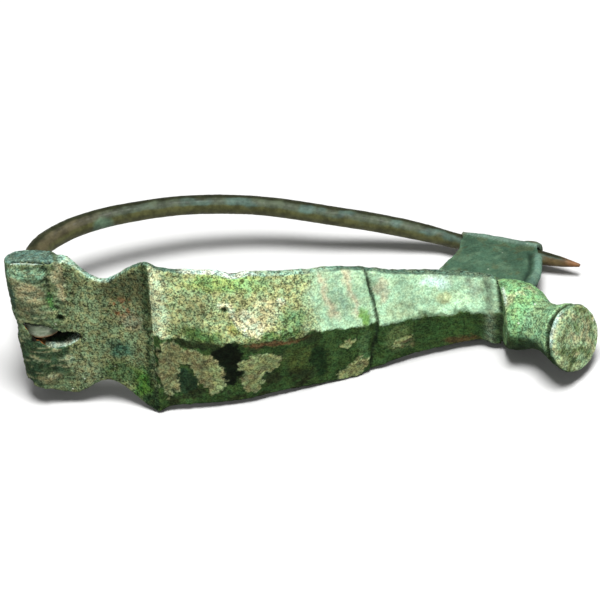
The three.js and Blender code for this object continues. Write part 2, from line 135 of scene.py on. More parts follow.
class Skin:
    """A finely meshed copy of a CAD node whose vertices can be pushed in and out, in brooch axes."""

    def __init__(self, node, name, voxel, smoothing):
        solid = frame["nodes"][node].data.copy()
        coords = np.empty(len(solid.vertices) * 3)
        solid.vertices.foreach_get("co", coords)
        solid.vertices.foreach_set("co", to_brooch(coords.reshape(-1, 3)).ravel())
        self.obj = bpy.data.objects.new(name, solid)
        bpy.context.scene.collection.objects.link(self.obj)
        remesh = self.obj.modifiers.new("fine", "REMESH")
        remesh.mode = "VOXEL"
        remesh.voxel_size = voxel
        graph = bpy.context.evaluated_depsgraph_get()
        self.mesh = bpy.data.meshes.new_from_object(self.obj.evaluated_get(graph))
        self.mesh.name = name
        self.obj.modifiers.clear()
        self.obj.data = self.mesh
        self.points = np.empty((len(self.mesh.vertices), 3))
        self.mesh.vertices.foreach_get("co", self.points.ravel())
        self.edges = np.empty((len(self.mesh.edges), 2), np.int32)
        self.mesh.edges.foreach_get("vertices", self.edges.ravel())
        self.smooth(smoothing)
        self.home = self.points.copy()

    def spread(self, values):
        """The mean of each vertex's neighbours' values."""
        a, b = self.edges.T
        count = len(self.points)
        total = np.bincount(a, values[b], count) + np.bincount(b, values[a], count)
        return total / np.bincount(self.edges.ravel(), minlength=count)

    def smooth(self, rounds):
        """Evens out the mesh without losing much volume."""
        for _ in range(rounds):
            for share in SMOOTH_SHARES:
                mean = np.stack([self.spread(axis) for axis in self.points.T], axis=1)
                self.points += share * (mean - self.points)

    def normals(self):
        """The unit normal of each vertex where it is now."""
        self.mesh.vertices.foreach_set("co", self.points.ravel())
        self.mesh.update()
        out = np.empty((len(self.points), 3), np.float32)
        self.mesh.vertex_normals.foreach_get("vector", out.ravel())
        return out

    def push(self, depth):
        """Moves every vertex out along its normal by its own depth, in millimetres."""
        self.points += self.normals() * depth[:, None]

    def hollows(self, rounds):
        """How hollow (above 0) or raised (below 0) the surface is at each vertex, in standard deviations."""
        mean = np.stack([self.spread(axis) for axis in self.points.T], axis=1)
        rise = np.sum((mean - self.points) * self.normals(), axis=1)
        for _ in range(rounds):
            rise = self.spread(rise)
        return rise / rise.std()

    def mark(self, name, values):
        """Keeps a value, a vector or a colour for each vertex, for the materials to read."""
        kind = {1: "FLOAT", 3: "FLOAT_VECTOR", 4: "FLOAT_COLOR"}[np.atleast_2d(values.T).shape[0]]
        field = {"FLOAT": "value", "FLOAT_VECTOR": "vector", "FLOAT_COLOR": "color"}[kind]
        layer = self.mesh.attributes.new(name, kind, "POINT")
        layer.data.foreach_set(field, np.ascontiguousarray(values, np.float32).ravel())

    def finish(self, body, node, slot, material):
        """Puts the piece in the frame with its material, in place of its CAD node."""
        self.mark("place", self.home)
        self.mesh.vertices.foreach_set("co", to_frame(self.points).ravel())
        self.mesh.shade_smooth()
        self.mesh.update()
        self.mesh.materials.clear()
        self.mesh.materials.append(material)
        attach(self.obj, body)
        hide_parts(node)


# ---------------------------------------------------------------- helpers for materials


class Finish:
    """A material, with a short call for each kind of node, which returns its output."""

    def __init__(self, name):
        self.material = bpy.data.materials.new(name)
        self.material.use_nodes = True
        self.tree = self.material.node_tree
        self.shader = self.tree.nodes["Principled BSDF"]
        self.place = self.attribute("place", "Vector")

    def put(self, socket, value):
        """Sets a socket to a number or colour, or links an output to it."""
        if isinstance(value, bpy.types.NodeSocket):
            self.tree.links.new(value, socket)
        else:
            socket.default_value = value

    def attribute(self, name, output="Fac"):
        """Reads what Skin.mark kept."""
        node = self.tree.nodes.new("ShaderNodeAttribute")
        node.attribute_name = name
        return node.outputs[output]

    def noise(self, size, detail, roughness):
        """Fractal noise of about 0 to 1 whose lumps are size millimetres across."""
        node = self.tree.nodes.new("ShaderNodeTexNoise")
        self.put(node.inputs["Vector"], self.place)
        node.inputs["Scale"].default_value = 1 / size
        node.inputs["Detail"].default_value = detail
        node.inputs["Roughness"].default_value = roughness
        return node.outputs["Fac"]

    def grains(self, size):
        """Distance to the nearest of a scatter of points size millimetres apart."""
        node = self.tree.nodes.new("ShaderNodeTexVoronoi")
        self.put(node.inputs["Vector"], self.place)
        node.inputs["Scale"].default_value = 1 / size
        return node.outputs["Distance"]

    def step(self, value, low, high, to_low=0.0, to_high=1.0):
        """A smooth step of a value from one range to another."""
        node = self.tree.nodes.new("ShaderNodeMapRange")
        node.interpolation_type = "SMOOTHSTEP"
        self.put(node.inputs["Value"], value)
        for name, number in zip(("From Min", "From Max", "To Min", "To Max"), (low, high, to_low, to_high)):
            node.inputs[name].default_value = number
        return node.outputs["Result"]

    def math(self, operation, a, b):
        """One sum of two numbers or outputs."""
        node = self.tree.nodes.new("ShaderNodeMath")
        node.operation = operation
        self.put(node.inputs[0], a)
        self.put(node.inputs[1], b)
        return node.outputs[0]

    def mix(self, share, a, b, blend="MIX"):
        """Colour a, mixed with colour b by a share."""
        node = self.tree.nodes.new("ShaderNodeMix")
        node.data_type = "RGBA"
        node.blend_type = blend
        self.put(node.inputs[0], share)
        for socket, colour in ((node.inputs[6], a), (node.inputs[7], b)):
            self.put(socket, colour if isinstance(colour, bpy.types.NodeSocket) else (*colour, 1.0))
        return node.outputs[2]

    def bump(self, height, depth):
        """Roughens the surface by a height of 0 to 1, depth millimetres deep."""
        node = self.tree.nodes.new("ShaderNodeBump")
        node.inputs["Strength"].default_value = 1.0
        node.inputs["Distance"].default_value = depth * MM
        self.put(node.inputs["Height"], height)
        self.put(self.shader.inputs["Normal"], node.outputs[0])


# ---------------------------------------------------------------- camera, floor and light

# The camera looks down on the brooch as it lies on its side.
VIEW_TILT = math.radians(32)
VIEW_TURN = math.radians(6)
VIEW_ROLL = math.radians(4)
VIEW_WIDTH = 54.55
VIEW_MIDDLE = (23.55, 1.73)
VIEW_DISTANCE = 600.0
SENSOR = 36.0

# The floor, in metres except for its gap below the brooch, in millimetres.
FLOOR_HALF = 1.5
FLOOR_GAP = 0.02
FLOOR_COLOUR = (0.62, 0.62, 0.615, 1)

# Each lamp's distance and size in metres, and its power in watts.
KEY_LAMP = (0.9, 0.32, 14.0)
FILL_LAMP = (1.1, 0.9, 0.6)
SKY_STRENGTH = 0.2


def view_axes():
    """The picture's right, its up and the direction from the brooch to the camera."""
    tilt_sin, tilt_cos = math.sin(VIEW_TILT), math.cos(VIEW_TILT)
    turn_sin, turn_cos = math.sin(VIEW_TURN), math.cos(VIEW_TURN)
    right = direction(turn_cos, 0, turn_sin)
    up = direction(turn_sin * tilt_sin, tilt_cos, -turn_cos * tilt_sin)
    back = direction(-turn_sin * tilt_cos, tilt_sin, turn_cos * tilt_cos)
    rolled = math.cos(VIEW_ROLL), math.sin(VIEW_ROLL)
    return rolled[0] * right - rolled[1] * up, rolled[1] * right + rolled[0] * up, back


def add_camera():
    """Sets the camera and returns the point that it looks at."""
    right, up, back = view_axes()
    camera = bpy.data.objects.new("camera", bpy.data.cameras.new("camera"))
    bpy.context.scene.collection.objects.link(camera)
    target = HINGE + (right * VIEW_MIDDLE[0] + up * VIEW_MIDDLE[1]) * MM
    turn = Matrix((right, up, back)).transposed().to_4x4()
    camera.matrix_world = Matrix.Translation(target + back * VIEW_DISTANCE * MM) @ turn
    camera.data.sensor_width = SENSOR
    camera.data.lens = SENSOR * VIEW_DISTANCE / VIEW_WIDTH
    camera.data.clip_start = 0.01
    camera.data.clip_end = 10.0
    bpy.context.scene.camera = camera
    return target


def add_floor():
    """A plain pale sheet under the brooch."""
    mesh = bpy.data.meshes.new("floor")
    signs = [(-1, -1), (1, -1), (1, 1), (-1, 1)]
    corners = [(FLOOR_HALF * along, FLOOR_HALF * across, 0) for along, across in signs]
    mesh.from_pydata(corners, [], [(0, 1, 2, 3)])
    floor = bpy.data.objects.new("floor", mesh)
    bpy.context.scene.collection.objects.link(floor)
    floor.location.z = cad_box[0][2] - FLOOR_GAP * MM
    paper = bpy.data.materials.new("floor_paper")
    paper.use_nodes = True
    shader = paper.node_tree.nodes["Principled BSDF"]
    shader.inputs["Base Color"].default_value = FLOOR_COLOUR
    shader.inputs["Roughness"].default_value = 0.95
    shader.inputs["Specular IOR Level"].default_value = 0.1
    mesh.materials.append(paper)


def add_light(name, target, towards, distance, size, power):
    """A square soft light, at a distance from its target in a given direction, in metres and watts."""
    light = bpy.data.lights.new(name, "AREA")
    light.size = size
    light.energy = power
    lamp = bpy.data.objects.new(name, light)
    bpy.context.scene.collection.objects.link(lamp)
    lamp.location = target + towards.normalized() * distance
    lamp.rotation_euler = (-towards).to_track_quat("-Z", "Y").to_euler()


def light_scene(target):
    """One soft lamp above, a wide weak one from the camera, and an even pale sky."""
    _, up, back = view_axes()
    add_light("key", target, up * 0.6 + back * 0.8, *KEY_LAMP)
    add_light("fill", target, back - up * 0.2, *FILL_LAMP)
    world = bpy.data.worlds.new("studio")
    world.use_nodes = True
    sky = world.node_tree.nodes["Background"]
    sky.inputs["Color"].default_value = (1, 1, 1, 1)
    sky.inputs["Strength"].default_value = SKY_STRENGTH
    bpy.context.scene.world = world
    bpy.context.scene.view_settings.view_transform = "Standard"


# ---------------------------------------------------------------- forms of the casting

# Places along the brooch, in its own axes.
ROLL_END_X = 2.2
CREST_X = 9.6
FOOT_X = 40.7
RIDGE_Y = 0.5
SLOT_Y = -0.3

# The foot's axis, and how far the knob's rings lean sideways from it.
FOOT_START = np.array([40.55, 0.0, 7.55])
FOOT_LEAN = math.radians(49)
FOOT_AXIS = np.array([math.cos(FOOT_LEAN), 0.0, math.sin(FOOT_LEAN)])
KNOB_LEAN = math.radians(11)
KNOB_LEAN_START, KNOB_LEAN_END = 4.6, 8.5
# How far along the foot its rings lie.
CREVICE, RIM, FACE = 8.6, 9.1, 9.86


def foot_distance(points):
    """How far each point lies along the foot, measured square to the foot's rings."""
    from_start = points - FOOT_START
    straight = from_start @ FOOT_AXIS
    lean = KNOB_LEAN * ease(straight, KNOB_LEAN_START, KNOB_LEAN_END)
    return straight + from_start[:, 1] * np.tan(lean)


# The catch's axes: along the pin, across the brooch, and up from the pin to the foot.
CATCH_START = np.array([39.25, -0.5, -5.15])
CATCH_ALONG = np.array([46.05, -0.5, -0.62]) - CATCH_START
CATCH_ALONG /= np.linalg.norm(CATCH_ALONG)
CATCH_UP = np.array([-CATCH_ALONG[2], 0.0, CATCH_ALONG[0]])
CURL_END = 8.0
# The curl's outside: places along it, and its radius at each.
CURL_PLACES = [0.3, 0.5, 2.6, 6.4, 7.0, 7.7, 8.1]
CURL_RADII = [0.9, 0.93, 1.16, 1.2, 1.34, 1.34, 1.22]
# How far the plate reaches along the pin at each height over it.
CATCH_END = [(-3.0, 8.0), (0.0, 8.0), (1.4, 8.9), (2.7, 9.5), (4.0, 10.0), (5.8, 10.3), (7.2, 10.7)]


def in_catch(points):
    """Each point's place along the pin, across from its middle, and up towards the foot."""
    from_start = points - CATCH_START
    return from_start @ CATCH_ALONG, from_start[:, 1], from_start @ CATCH_UP


def from_line(points, corners):
    """Distance from each point to a line of straight stretches, seen from the front."""
    best = np.full(len(points), np.inf)
    for (x0, y0), (x1, y1) in zip(corners, corners[1:]):
        dx, dy = x1 - x0, y1 - y0
        along = (points[:, 0] - x0) * dx + (points[:, 1] - y0) * dy
        share = np.clip(along / (dx * dx + dy * dy), 0, 1)
        best = np.minimum(best, np.hypot(points[:, 0] - x0 - share * dx, points[:, 1] - y0 - share * dy))
    return best


SEAM_LINE = [(0.35, 6.8), (0.6, 4.7), (0.85, 3.6), (1.1, 2.9), (1.4, 2.2), (1.55, 1.5)]
SEAM_PIT = (1.65, 1.15)
FACET_PIT = (16.0, 3.55)
SCAR_LINE = [(15.7, 3.95), (16.35, 3.9), (16.7, 3.1), (17.1, 2.2), (17.7, 1.3)]
GROOVE_LINE = [(28.9, 6.2), (29.3, 4.0), (29.6, 2.0), (29.75, 0.5), (29.6, -1.5), (29.2, -3.5), (29.0, -5.6)]
# Small lumps: x, y, radius and height.
BUMPS = [(36.05, 1.8, 0.42, 0.2), (36.95, 2.4, 0.24, 0.12), (21.2, 3.9, 0.4, 0.06), (33.2, 2.4, 0.5, 0.05)]
MOULDINGS = [(24.3, -0.12), (25.6, 0.15), (26.9, -0.11), (28.0, 0.15)]

# The seam in the end of the tube: its middle from the side, its tilt, and where it starts and stops.
END_SEAM_X, END_SEAM_Z = -0.7, 1.16
END_SEAM_TILT = math.radians(19)
END_SEAM_SHIFT, END_SEAM_HALF = 0.2, 1.95

# The blind floor of the slit in front, and how far the slit and the room for the pin's eye reach.
SLIT_FLOOR_Z = 0.95
SLIT_REACH, EYE_REACH = 3.9, 1.95

# The edge of the bow, and the depth of the chip in it, at places along the bow.
EDGE_Y = 6.9
CHIP = [(15.4, 0.0), (16.0, 0.28), (16.7, 0.62), (17.4, 0.66), (18.1, 0.5), (19.0, 0.16), (19.8, 0.0)]

# Crust standing on the casting, as ovals seen from the front: x, y, half length, half width, turn.
CRUSTS = [
    (10.7, -3.2, 1.0, 3.2, 0), (12.4, -1.4, 2.5, 1.0, -8), (14.3, -3.5, 1.3, 2.3, 10),
    (18.8, -2.3, 2.2, 1.1, 4), (18.2, -4.2, 1.0, 1.8, 12), (26.9, -1.2, 0.9, 0.42, 38),
    (27.4, -4.6, 1.7, 0.8, 24), (32.0, -2.1, 1.2, 0.5, 28), (1.9, 5.0, 0.85, 2.5, 4),
]


class Places:
    """Where each point of the casting lies: shares of 0 to 1, distances and noise, worked out once."""

    def __init__(self, home, normal):
        self.home, self.normal = home, normal
        self.x, self.y, self.z = home.T
        self.front = ease(normal[:, 2], 0.0, 0.45)
        self.side = ease(normal[:, 1], 0.62, 0.85)
        self.far = foot_distance(home)
        self.on_roll = ease(self.x, ROLL_END_X + 0.3, ROLL_END_X - 0.3)
        self.on_foot = ease(self.x, FOOT_X - 0.2, FOOT_X + 0.2) * ease(self.z, 4.6, 5.6)
        self.on_catch = ease(self.x, 36.5, 37.5) * ease(self.z, 5.9, 5.3)
        # Points moved a little to and fro, which makes the edges of stains and crust ragged.
        self.bent = home.copy()
        for axis in (0, 1):
            wide, narrow = clouds(home, 1.5, 3, 1 + axis), clouds(home, 0.45, 2, 7 + axis)
            self.bent[:, axis] += 0.5 * wide + 0.22 * narrow
        self.grit = clouds(home, 0.42, 2, 4)
        self.streaks = clouds(home * [0.8, 3.2, 1.0], 1.1, 3, 16)
        self.scar = from_line(home, SCAR_LINE)
        self.groove = from_line(self.bent * 0.2 + home * 0.8, GROOVE_LINE)
        self.crust = np.zeros(len(home))
        for patch in CRUSTS:
            inside = in_patch(self.bent, *patch) + 0.18 * self.grit
            self.crust = np.maximum(self.crust, ease(inside, 0.0, 0.16))
        self.crust *= self.front


def corrosion(at):
    """How far corrosion and wear move each point out, in millimetres."""
    home, x, y, front = at.home, at.x, at.y, at.front
    worn = ease(x, 24.0, 25.0) * ease(y, 0.3, 0.8) * ease(x, 40.0, 39.0)
    rough = 1 - 0.8 * at.on_catch - 0.35 * worn
    depth = 0.05 * clouds(home, 2.4, 3, 3) + rough * (0.04 * at.grit + 0.035 * clouds(home, 0.95, 3, 17))
    depth += 0.05 * at.on_roll * at.streaks
    depth += 0.085 * at.crust * (1 + 0.5 * at.grit)
    sparse = ease(clouds(home, 3.5, 2, 6), 0.0, 0.35)
    depth -= 0.12 * ease(cells(home, 1.1, 5), 0.24, 0.1) * sparse * front
    pit = np.hypot(x - SEAM_PIT[0], y - SEAM_PIT[1])
    depth += front * (0.2 * bell(pit, 0.55, 0.15) - 0.55 * ease(pit, 0.42, 0.15))
    pit = np.hypot(x - FACET_PIT[0], y - FACET_PIT[1])
    depth += front * (0.08 * bell(pit, 0.52, 0.15) - 0.34 * ease(pit, 0.44, 0.12))
    depth += 0.16 * front * ease(at.scar + 0.12 * at.grit, 0.34, 0.06)
    for bump_x, bump_y, radius, height in BUMPS:
        depth += height * front * ease(np.hypot(x - bump_x, y - bump_y), radius, 0.1 * radius)
    return depth


def tooling(at):
    """How far seams, mouldings, the cross groove and the foot's rings move each point out."""
    home, x, y, z, front = at.home, at.x, at.y, at.z, at.front
    depth = -0.2 * ease(from_line(at.bent, SEAM_LINE), 0.22, 0.02) * front * ease(x, 2.4, 2.0)
    for place, height in MOULDINGS:
        depth += height * front * bell(x, place - 0.22 * (y - 1.5), 0.42) * ease(y, 0.2, 1.2)
    depth -= 0.14 * front * ease(at.groove, 0.16, 0.04)
    depth += 0.16 * bell(x, FOOT_X - 0.75, 0.42) * front
    depth -= 0.22 * bell(x, FOOT_X + 0.05, 0.22) * ease(z, 5.0, 6.0)
    depth -= 0.3 * at.on_foot * bell(at.far, CREVICE - 0.02, 0.16)
    rim = bell(np.hypot(*knob_face(home)), 2.35, 0.25)
    depth += 0.05 * at.on_foot * bell(at.far, FACE - 0.05, 0.12) * rim
    seam_along, seam_out = end_seam(home)
    seam = at.side * at.on_roll * ease(abs(seam_along - END_SEAM_SHIFT), END_SEAM_HALF, 1.7)
    depth -= 0.45 * seam * ease(abs(seam_out), 0.25, 0.1)
    return depth


def catch_relief(at):
    """How far the valley beside the curl and the plate's rolled end move each point out."""
    along, across, up = in_catch(at.home)
    outside = at.on_catch * ease(across, 0.75, 0.95)
    end = np.interp(up, *zip(*CATCH_END)) - along
    beside = ease(up, 0.9, 1.6) * ease(up, 6.0, 5.0)
    depth = -0.16 * outside * bell(up, 0.75, 0.42) * ease(end, 0.6, 1.4)
    depth -= 0.16 * outside * bell(end, 0.95, 0.25) * beside
    depth += 0.22 * at.on_catch * ease(end, 0.7, 0.1) * beside
    return depth


def round_curl(skin, grit):
    """Gives the curl's outside its tapered mouth and thick end."""
    along, across, up = in_catch(skin.home)
    radius = np.hypot(across, up)
    curl = (up < 0.3) & (radius > 1.0) & (radius < 1.7) & (along > 0) & (along < CURL_END + 0.2)
    wanted = np.interp(along, CURL_PLACES, CURL_RADII)
    shrink = np.where(curl, np.minimum(1, (wanted + 0.03 * grit) / radius), 1)
    middle = CATCH_START + along[:, None] * CATCH_ALONG
    turned = middle + (skin.points - middle) * shrink[:, None]
    skin.points = np.where(curl[:, None], turned, skin.points)


def chip_edge(skin, grit):
    """Breaks a chip out of the bow's edge."""
    x = skin.home[:, 0]
    limit = EDGE_Y - np.interp(x, *zip(*CHIP)) + 0.06 * grit
    chipped = (x > CHIP[0][0]) & (x < CHIP[-1][0]) & (skin.points[:, 1] > limit)
    skin.points[chipped, 1] = limit[chipped]


def cast_bronze():
    """The casting's patina, with painted shade and painted highlights among its painted colours, speckled,
    tinted, dotted and grained.
    """
    finish = Finish("cast_bronze_patina")
    patina_and_shade = finish.attribute("patina_and_shade", "Color")
    grain = finish.attribute("grain")
    fine = finish.noise(0.17, 2, 0.7)
    coarse = finish.noise(0.5, 3, 0.6)
    blend = finish.math("ADD", finish.math("MULTIPLY", fine, 0.62), finish.math("MULTIPLY", coarse, 0.38))
    speckle = finish.step(blend, 0.38, 0.63, -0.72, 0.95)
    grey = finish.math("ADD", finish.math("MULTIPLY", speckle, grain), 1.0)
    colour = finish.mix(1.0, patina_and_shade, grey, "MULTIPLY")
    warm = finish.mix(1.0, colour, (1.10, 0.985, 0.87), "MULTIPLY")
    cool = finish.mix(1.0, colour, (0.88, 1.02, 1.02), "MULTIPLY")
    tint = finish.math("MULTIPLY", finish.step(finish.noise(0.6, 3, 0.6), 0.4, 0.6, -0.5, 0.5), grain)
    colour = finish.mix(finish.math("ADD", tint, 0.5), cool, warm)
    drift = finish.step(finish.noise(2.2, 3, 0.6), 0.35, 0.65, 0.82, 1.2)
    colour = finish.mix(1.0, colour, drift, "MULTIPLY")
    dots = finish.step(finish.grains(0.62), 0.1, 0.2, 1.0, 0.0)
    dots = finish.math("MULTIPLY", finish.math("MULTIPLY", dots, grain), 0.75)
    colour = finish.mix(dots, colour, (0.032, 0.066, 0.02))
    flecks = finish.step(finish.grains(1.9), 0.04, 0.06, 1.0, 0.0)
    flecks = finish.math("MULTIPLY", finish.math("MULTIPLY", flecks, grain), 0.8)
    colour = finish.mix(flecks, colour, (0.7, 0.74, 0.62))
    finish.put(finish.shader.inputs["Base Color"], colour)
    finish.put(finish.shader.inputs["Roughness"], finish.step(blend, 0.35, 0.65, 0.66, 0.9))
    finish.shader.inputs["Specular IOR Level"].default_value = 0.03
    height = finish.math("ADD", blend, finish.math("MULTIPLY", finish.noise(0.1, 2, 0.6), 0.35))
    finish.bump(finish.math("MULTIPLY", height, grain), 0.13)
    return finish.material


def dress_bow():
    """The casting: its relief, then its colours from the head to the foot."""
    skin = Skin("bow", "bow_casting", BOW_VOXEL, BOW_SMOOTHING)
    at = Places(skin.home, skin.normals())
    skin.push(corrosion(at) + tooling(at) + catch_relief(at))
    round_curl(skin, at.grit)
    chip_edge(skin, at.grit)

    paint = Paint(at.bent, (0.06, 0.085, 0.045))
    grain = np.full(len(skin.home), 0.7)
    paint_head(paint, grain, at)
    paint_facets(paint, grain, at)
    paint_edges(paint, at)
    paint_foot(paint, grain, at)
    paint_catch(paint, grain, at)
    paint_slit(paint, at)
    paint.over((0.008, 0.014, 0.007), at.front * ease(at.groove, 0.16, 0.06) * 0.8)
    # Painted shade in the hollows, and a painted highlight on raised places.
    hollow = skin.hollows(3)
    paint.over((0.02, 0.035, 0.018), 0.75 * ease(hollow, 0.6, 2.6) * (1 - 0.6 * at.on_catch))
    paint.lift(1 + 0.45 * ease(-hollow, 0.8, 3.0))
    # Painted shade on the sides that face down.
    paint.over((0.015, 0.025, 0.012), 0.85 * ease(-at.normal[:, 1], 0.3, 0.75))
    skin.mark("grain", grain)
    skin.mark("patina_and_shade", paint.colours())
    skin.finish("brooch", "bow", "cast_bronze", cast_bronze())


# ---------------------------------------------------------------- colours of the casting

# Stains, and one band of painted shade under the ridge, as ovals seen from the front: colour, (x, y, half
# length, half width, turn), softness.
ROLL_STAINS = [
    ((0.19, 0.31, 0.20), (-1.0, 5.9, 2.0, 0.9, 0), 0.3),
    ((0.23, 0.22, 0.13), (-0.9, 4.1, 1.7, 1.3, -10), 0.5),
    ((0.10, 0.11, 0.06), (-1.2, 2.2, 1.8, 1.2, -15), 0.5),
    ((0.026, 0.048, 0.024), (0.0, -3.2, 3.4, 3.2, 0), 0.3),
    ((0.14, 0.19, 0.12), (2.1, -3.4, 1.2, 0.8, 0), 0.5),
    ((0.12, 0.12, 0.065), (0.2, -5.3, 1.3, 0.7, 0), 0.5),
    ((0.25, 0.24, 0.14), (1.9, 4.9, 0.9, 2.6, 4), 0.3),
    ((0.08, 0.20, 0.06), (1.0, 2.9, 0.3, 1.2, 13), 0.5),
    ((0.04, 0.075, 0.05), (-2.9, 3.0, 0.7, 5.0, 0), 0.5),
]
PLATE_STAINS = [
    ((0.17, 0.21, 0.11), (3.9, 1.6, 1.9, 3.0, 0), 0.6),
    ((0.06, 0.07, 0.035), (7.4, 5.2, 3.0, 2.6, 0), 0.5),
    ((0.15, 0.155, 0.095), (7.9, 1.4, 1.8, 1.4, 0), 0.6),
    ((0.045, 0.09, 0.055), (6.6, -1.7, 1.5, 1.3, 0), 0.7),
    ((0.055, 0.085, 0.035), (6.6, -4.2, 2.4, 1.8, -20), 0.6),
    ((0.04, 0.10, 0.02), (8.5, -5.1, 1.3, 2.6, 0), 0.7),
    ((0.13, 0.155, 0.085), (3.4, -4.4, 1.6, 2.0, 0), 0.6),
    ((0.015, 0.03, 0.012), (9.2, -7.0, 1.2, 1.5, 0), 0.5),
]
UPPER_STAINS = [
    ((0.22, 0.33, 0.12), (16.0, 6.0, 4.2, 1.0, 0), 0.5),
    ((0.18, 0.27, 0.115), (18.8, 5.4, 1.8, 0.8, 0), 0.7),
    ((0.20, 0.23, 0.115), (13.2, 3.8, 1.9, 1.7, 0), 0.8),
    ((0.06, 0.11, 0.035), (13.6, 1.0, 3.0, 1.2, -6), 0.7),
    ((0.24, 0.25, 0.08), (17.0, 2.0, 1.2, 1.0, 0), 0.7),
    ((0.34, 0.36, 0.21), (19.6, 2.8, 2.0, 1.9, 0), 0.5),
    ((0.14, 0.24, 0.11), (22.0, 2.0, 1.8, 1.4, 0), 0.6),
    ((0.07, 0.12, 0.04), (20.5, 0.8, 4.0, 0.45, 0), 0.6),
    ((0.42, 0.47, 0.32), (21.2, 3.9, 0.5, 0.5, 0), 0.3),
]
MINT_STAINS = [
    ((0.14, 0.27, 0.08), (28.7, 1.2, 0.7, 1.3, 0), 0.6),
    ((0.33, 0.37, 0.26), (30.4, 3.4, 0.8, 1.6, 0), 0.5),
    ((0.26, 0.36, 0.23), (31.8, 1.4, 1.8, 0.9, 0), 0.5),
    ((0.48, 0.64, 0.57), (35.4, 3.3, 1.7, 0.9, 0), 0.7),
    ((0.37, 0.46, 0.27), (36.0, 1.9, 0.9, 0.7, 0), 0.6),
    ((0.20, 0.28, 0.20), (38.6, 2.6, 0.8, 1.4, 0), 0.7),
    ((0.13, 0.20, 0.12), (35.0, 0.6, 5.0, 0.35, 0), 0.6),
]
LOWER_STAINS_AND_SHADE = [
    ((0.005, 0.008, 0.004), (15.9, -1.9, 1.35, 2.9, 0), 0.12),
    ((0.015, 0.032, 0.016), (12.1, -4.2, 1.3, 1.5, 0), 0.2),
    # A dark band just under the ridge: painted shade.
    ((0.02, 0.03, 0.012), (13.0, 0.1, 2.4, 0.5, 0), 0.3),
    ((0.10, 0.06, 0.028), (20.3, 0.1, 3.8, 0.4, 0), 0.6),
    ((0.05, 0.075, 0.022), (22.4, -2.2, 1.6, 2.0, 0), 0.5),
    ((0.012, 0.028, 0.01), (24.3, -3.0, 0.9, 2.6, 0), 0.4),
    ((0.06, 0.115, 0.045), (28.5, -2.4, 0.8, 2.8, 0), 0.5),
    ((0.07, 0.11, 0.042), (31.6, -1.8, 1.8, 2.2, 0), 0.5),
    ((0.12, 0.10, 0.055), (32.4, -2.4, 1.0, 0.8, 0), 0.7),
    ((0.035, 0.075, 0.022), (36.5, -1.5, 3.5, 1.8, 0), 0.5),
    ((0.07, 0.05, 0.02), (37.5, -3.0, 2.6, 0.6, 0), 0.6),
]

class Paint:
    """Colours laid over each other on a skin's vertices."""

    def __init__(self, places, colour):
        self.places = places
        self.rgb = np.tile(np.array(colour, float), (len(places), 1))

    def over(self, colour, share):
        """Lays a colour over the others by a share of 0 to 1."""
        share = np.clip(share, 0, 1)[:, None]
        self.rgb += share * (np.array(colour) - self.rgb)

    def patch(self, colour, oval, where, soft):
        """Lays a colour on an oval seen from the front, fading over a share of its size."""
        self.over(colour, ease(in_patch(self.places, *oval), 0.0, soft) * where)

    def patches(self, rows, where):
        for colour, oval, soft in rows:
            self.patch(colour, oval, where, soft)

    def lift(self, share):
        """Makes the colours lighter or darker by a share."""
        self.rgb *= share[:, None]

    def colours(self):
        """The colours with an opaque alpha, for a colour attribute."""
        return np.hstack([self.rgb, np.ones((len(self.rgb), 1))])


def knob_face(points):
    """Each point's place across the knob's face, from its middle."""
    middle = FOOT_START + FOOT_AXIS * FACE
    sideways = np.array([0.0, 1.0, 0.0]) - FOOT_AXIS * math.tan(KNOB_LEAN)
    sideways /= np.linalg.norm(sideways)
    frontways = np.cross(FOOT_AXIS, sideways)
    return (points - middle) @ sideways, (points - middle) @ frontways


def end_seam(points):
    """Each point's place along the seam in the end of the tube, and out from it towards the front."""
    tilt_sin, tilt_cos = math.sin(END_SEAM_TILT), math.cos(END_SEAM_TILT)
    dx, dz = points[:, 0] - END_SEAM_X, points[:, 2] - END_SEAM_Z
    return dx * tilt_cos + dz * tilt_sin, -dx * tilt_sin + dz * tilt_cos


def paint_head(paint, grain, at):
    """The rolled tube and the head plate."""
    home, x, front, streaks = at.home, at.x, at.front, at.streaks
    bx = at.bent[:, 0]
    roll = front * ease(bx, ROLL_END_X + 0.2, ROLL_END_X - 0.2)
    plate = front * ease(bx, ROLL_END_X - 0.2, ROLL_END_X + 0.2) * (x < CREST_X)
    paint.over((0.10, 0.135, 0.07), roll)
    paint.patches(ROLL_STAINS, roll)
    paint.over((0.03, 0.045, 0.025), roll * ease(-streaks, 0.1, 0.4) * 0.7)
    paint.over((0.24, 0.25, 0.15), roll * ease(streaks, 0.2, 0.45) * 0.5)
    grain[:] = np.where(x < ROLL_END_X, 0.8, 1.1)
    paint.over((0.125, 0.155, 0.08), plate)
    paint.patches(PLATE_STAINS, plate)
    rust = ease(in_patch(home, 6.8, 2.7, 1.9, 1.2, 20), 0.0, 0.5)
    rust *= ease(clouds(home, 0.55, 3, 28), 0.08, 0.3)
    paint.over((0.15, 0.07, 0.033), plate * rust * 0.85)
    # A dark band on the plate just before the crest: painted shade on its rise.
    paint.over((0.02, 0.035, 0.014), plate * bell(bx, CREST_X - 0.4, 0.35) * 0.9)


